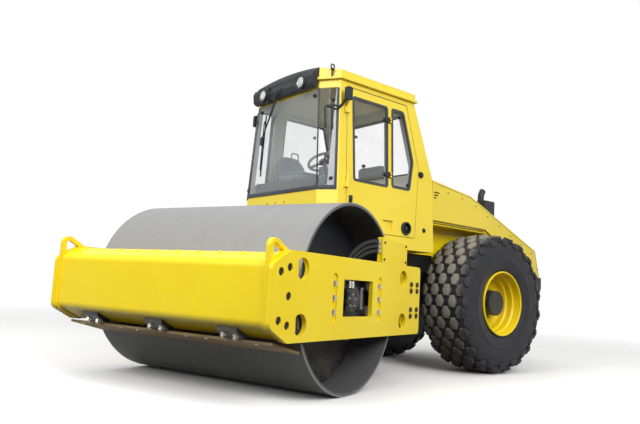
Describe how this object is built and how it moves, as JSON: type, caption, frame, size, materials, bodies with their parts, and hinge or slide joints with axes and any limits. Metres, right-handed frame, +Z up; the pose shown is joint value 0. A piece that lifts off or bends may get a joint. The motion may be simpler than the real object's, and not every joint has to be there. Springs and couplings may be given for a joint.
{
  "type": "single-drum soil roller",
  "caption": "Articulated road roller with one wide smooth steel drum in a plate frame, an enclosed cab, a sloping engine hood and two large diamond-tread tyres.",
  "frame": {"origin": "middle of the parked machine's box, on the ground", "axes": "+X forward along the rear half, +Y to the operator's left, +Z up; the front half is steered to the left"},
  "size_m": [5.8234, 2.9063, 2.9658],
  "materials": {
    "yellow_paint": "gloss enamel",
    "yellow_panel": "gloss gel coat on moulded panels",
    "black_paint": "satin black",
    "black_casting": "painted casting",
    "black_plastic": "grained moulding",
    "cab_glass": "clear safety glass",
    "engine_alloy": "plain block in place of the engine",
    "lamp_glass": "fluted lens",
    "seat_cloth": "woven cloth",
    "worn_blade": "worn paint",
    "hose_rubber": "smooth rubber",
    "drum_steel": "rolled and brushed",
    "tyre_rubber": "moulded tread",
    "rod_chrome": "ground rod"
  },
  "bodies": {
    "chassis": {"rear_frame": "black_paint", "rear_axle": "black_casting", "engine_block": "engine_alloy", "rear_bumper": "black_casting", "left_fender": "yellow_paint", "right_fender": "yellow_paint", "cab_base": "yellow_paint", "cab_front_wall": "yellow_paint", "cab_left_side": "yellow_paint", "cab_right_side": "yellow_paint", "cab_rear_wall": "yellow_paint", "cab_roof": "yellow_panel", "roof_visor": "black_plastic", "work_lights": "lamp_glass", "windscreen": "cab_glass", "corner_windows": "cab_glass", "right_side_windows": "cab_glass", "rear_window": "cab_glass", "seat_base": "black_plastic", "seat_cushions": "seat_cloth", "steering_console": "black_plastic", "dash_panel": "black_plastic", "mirrors": "black_plastic"},
    "centre_joint": {"centre_joint": "black_paint"},
    "front_frame": {"left_side_plate": "yellow_paint", "right_side_plate": "yellow_paint", "front_beam": "yellow_paint", "rear_cross_beam": "yellow_paint", "front_scraper": "worn_blade", "scraper_brackets": "black_paint", "drum_carriers": "black_casting", "hose_box": "yellow_paint", "drum_hoses": "hose_rubber"},
    "drum": {"drum_shell": "drum_steel", "drum_heads": "black_casting"},
    "left_wheel": {"left_tyre": "tyre_rubber", "left_rim": "yellow_paint", "left_hub": "black_casting"},
    "right_wheel": {"right_tyre": "tyre_rubber", "right_rim": "yellow_paint", "right_hub": "black_casting"},
    "left_door": {"left_door": "yellow_paint", "left_door_windows": "cab_glass", "door_handle": "black_plastic"},
    "engine_hood": {"engine_hood": "yellow_panel", "exhaust_stack": "black_paint"},
    "left_barrel": {"left_barrel": "black_paint"},
    "left_rod": {"left_rod": "rod_chrome"},
    "right_barrel": {"right_barrel": "black_paint"},
    "right_rod": {"right_rod": "rod_chrome"}
  },
  "joints": [
    {"name": "steering", "type": "hinge", "parent": "chassis", "child": "centre_joint", "pos_m": [0.22828, -0.37569, 0.75], "axis": [0, 0, -1], "range_deg": [-17, 53]},
    {"name": "oscillation", "type": "hinge", "parent": "centre_joint", "child": "front_frame", "pos_m": [0.22828, -0.37569, 0.75], "axis": [0.9511, 0.309, 0], "range_deg": [-12, 12]},
    {"name": "drum_roll", "type": "hinge", "parent": "front_frame", "child": "drum", "pos_m": [1.49319, 0.0353, 0.75], "axis": [-0.309, 0.9511, 0], "continuous": true},
    {"name": "left_wheel_roll", "type": "hinge", "parent": "chassis", "child": "left_wheel", "pos_m": [-1.40172, 0.40831, 0.755], "axis": [0, 1, 0], "continuous": true},
    {"name": "right_wheel_roll", "type": "hinge", "parent": "chassis", "child": "right_wheel", "pos_m": [-1.40172, -1.15969, 0.755], "axis": [0, 1, 0], "continuous": true},
    {"name": "door_swing", "type": "hinge", "parent": "chassis", "child": "left_door", "pos_m": [0.70128, 0.39362, 2], "axis": [0, 0.0608, -0.9982], "range_deg": [0, 90]},
    {"name": "hood_lift", "type": "hinge", "parent": "chassis", "child": "engine_hood", "pos_m": [-0.58372, -0.37569, 2.08], "axis": [0, 1, 0], "range_deg": [0, 50]},
    {"name": "left_cylinder_swing", "type": "hinge", "parent": "chassis", "child": "left_barrel", "pos_m": [-0.53172, -0.18569, 0.605], "axis": [0, 0, 1], "range_deg": [-1.01, 1.02]},
    {"name": "left_rod_slide", "type": "slide", "parent": "left_barrel", "child": "left_rod", "axis": [0.9999, -0.0133, 0], "range_m": [-0.0598, 0.1759]},
    {"name": "right_cylinder_swing", "type": "hinge", "parent": "chassis", "child": "right_barrel", "pos_m": [-0.53172, -0.56569, 0.605], "axis": [0, 0, 1], "range_deg": [-1.17, 1.52]},
    {"name": "right_rod_slide", "type": "slide", "parent": "right_barrel", "child": "right_rod", "axis": [0.9999, 0.0114, 0], "range_m": [-0.1756, 0.0597]}
  ],
  "couplings": [
    {"joint": "left_cylinder_swing", "follows": "steering", "ratio": 0.000402},
    {"joint": "left_rod_slide", "follows": "steering", "m_per_rad": 0.18475},
    {"joint": "right_cylinder_swing", "follows": "steering", "ratio": 0.009801},
    {"joint": "right_rod_slide", "follows": "steering", "m_per_rad": -0.18445}
  ]
}
